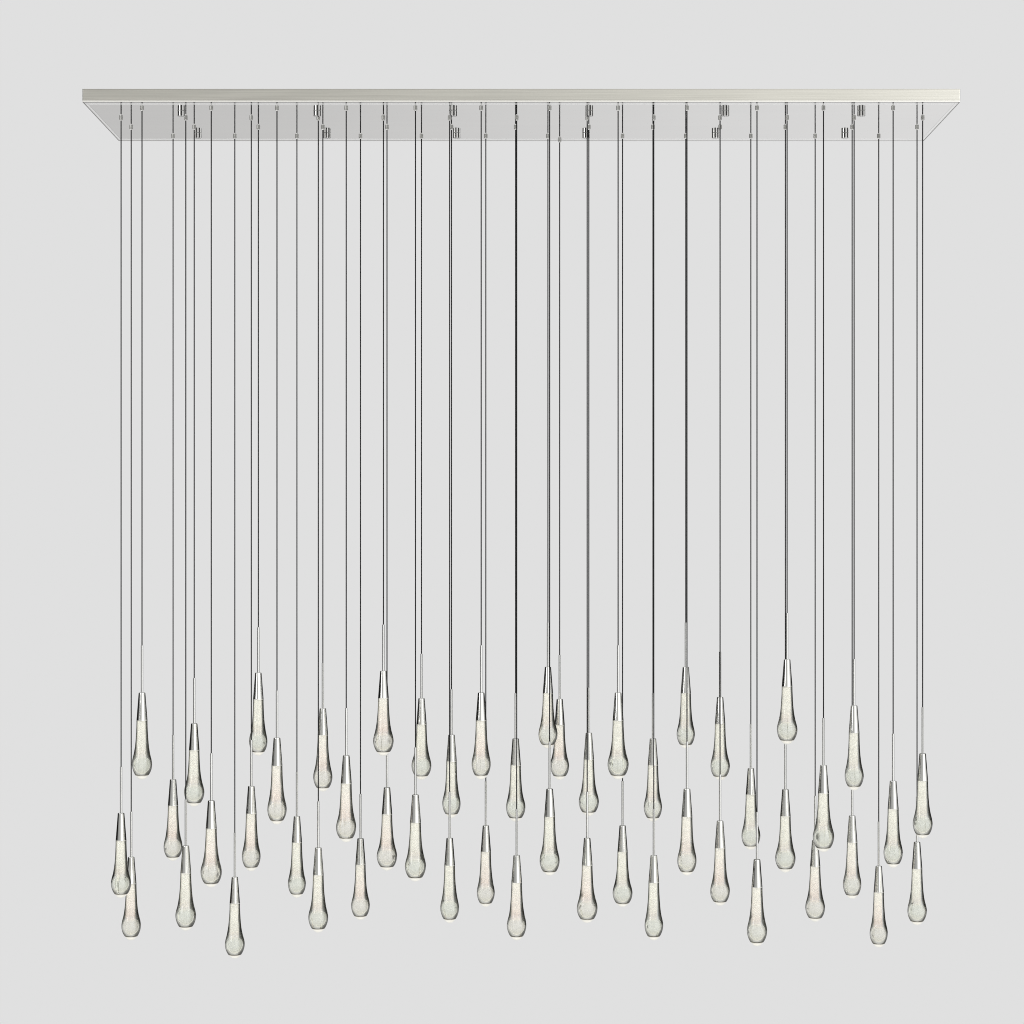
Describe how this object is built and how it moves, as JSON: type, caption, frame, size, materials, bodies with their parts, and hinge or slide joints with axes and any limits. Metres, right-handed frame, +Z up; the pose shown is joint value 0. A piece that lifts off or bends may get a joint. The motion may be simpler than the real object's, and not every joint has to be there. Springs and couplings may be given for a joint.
{
  "type": "crystal chandelier",
  "caption": "Linear crystal chandelier: a shallow mirror-faced canopy hangs bubbled glass drops with polished conical caps on thin black cords at staggered heights.",
  "frame": {"origin": "middle of the canopy's ceiling face, in the plane where the bars and the frame meet the ceiling", "axes": "+X along the canopy to the right as seen from the front, +Y from the front edge to the back edge, +Z up into the ceiling; the drops hang along -Z"},
  "size_m": [2.21, 0.5142, 2.265],
  "materials": {
    "satin_frame": "satin nickel, fine brushing along the length",
    "mirror_finish": "polished to a mirror",
    "chrome": "polished plating",
    "zinc_steel": "bright zinc plating",
    "spring_steel": "plain spring wire",
    "clear_plastic": "clear, smooth",
    "black_cord": "smooth black sheath, slight sheen",
    "white_plastic": "moulded, fine matt",
    "grey_plastic": "moulded, fine matt",
    "nylon": "natural nylon",
    "board_green": "green circuit board lacquer",
    "driver_case": "white moulded case",
    "red_wire": "smooth red insulation",
    "grey_wire": "smooth grey sheath",
    "brass": "plain brass",
    "light_board": "white lacquered aluminium board with a warm light source",
    "clear_gasket": "clear silicone, catches the light of the glass",
    "crystal_glass": "clear lead-free crystal with bubbles in its core"
  },
  "bodies": {
    "canopy": {"canopy_frame": "satin_frame", "mirror_plate": "mirror_finish", "ceiling_bars": "zinc_steel", "hanging_studs": "zinc_steel", "stud_nuts": "zinc_steel", "cap_nut_washers": "clear_plastic", "cap_nuts": "chrome", "gripper_housings": "chrome", "gripper_lock_nuts": "zinc_steel", "gripper_springs": "spring_steel", "cord_tails": "black_cord", "push_in_connectors": "white_plastic", "distribution_boards": "board_green", "board_posts": "nylon", "board_inlets": "grey_plastic", "output_wires": "red_wire", "driver_studs": "zinc_steel", "driver_nuts": "zinc_steel", "left_led_driver": "driver_case", "centre_led_driver": "driver_case", "right_led_driver": "driver_case", "mains_terminal_block": "white_plastic", "terminal_screws": "zinc_steel", "mains_wires": "grey_wire", "earth_stud": "brass", "earth_nut": "brass"},
    "release_sleeves": {"release_sleeves": "chrome"},
    "front_row": {"front_row_cords": "black_cord", "front_row_stems": "chrome", "front_row_caps": "chrome", "front_row_light_boards": "light_board", "front_row_gaskets": "clear_gasket", "front_row_crystals": "crystal_glass"},
    "inner_front_row": {"inner_front_row_cords": "black_cord", "inner_front_row_stems": "chrome", "inner_front_row_caps": "chrome", "inner_front_row_light_boards": "light_board", "inner_front_row_gaskets": "clear_gasket", "inner_front_row_crystals": "crystal_glass"},
    "inner_rear_row": {"inner_rear_row_cords": "black_cord", "inner_rear_row_stems": "chrome", "inner_rear_row_caps": "chrome", "inner_rear_row_light_boards": "light_board", "inner_rear_row_gaskets": "clear_gasket", "inner_rear_row_crystals": "crystal_glass"},
    "rear_row": {"rear_row_cords": "black_cord", "rear_row_stems": "chrome", "rear_row_caps": "chrome", "rear_row_light_boards": "light_board", "rear_row_gaskets": "clear_gasket", "rear_row_crystals": "crystal_glass"},
    "back_edge": {"back_edge_cords": "black_cord", "back_edge_stems": "chrome", "back_edge_caps": "chrome", "back_edge_light_boards": "light_board", "back_edge_gaskets": "clear_gasket", "back_edge_crystals": "crystal_glass"}
  },
  "joints": [
    {"name": "front_row_swing", "type": "hinge", "parent": "canopy", "child": "front_row", "pos_m": [0, -0.183, -0.041], "axis": [1, 0, 0], "range_deg": [-20, 9]},
    {"name": "inner_front_row_swing", "type": "hinge", "parent": "canopy", "child": "inner_front_row", "pos_m": [0, -0.061, -0.041], "axis": [1, 0, 0], "range_deg": [-20, 2]},
    {"name": "inner_rear_row_swing", "type": "hinge", "parent": "canopy", "child": "inner_rear_row", "pos_m": [0, 0.061, -0.041], "axis": [1, 0, 0], "range_deg": [-2, 20]},
    {"name": "rear_row_swing", "type": "hinge", "parent": "canopy", "child": "rear_row", "pos_m": [0, 0.183, -0.041], "axis": [1, 0, 0], "range_deg": [-9, 0.7]},
    {"name": "back_edge_swing", "type": "hinge", "parent": "canopy", "child": "back_edge", "pos_m": [0, 0.234, -0.041], "axis": [1, 0, 0], "range_deg": [-0.7, 20]},
    {"name": "release_sleeves_press", "type": "slide", "parent": "canopy", "child": "release_sleeves", "axis": [0, 0, 1], "range_m": [0, 0.002], "stiffness_N_per_m": 2000, "springref_m": -0.002, "deforming": ["gripper_springs"]}
  ]
}
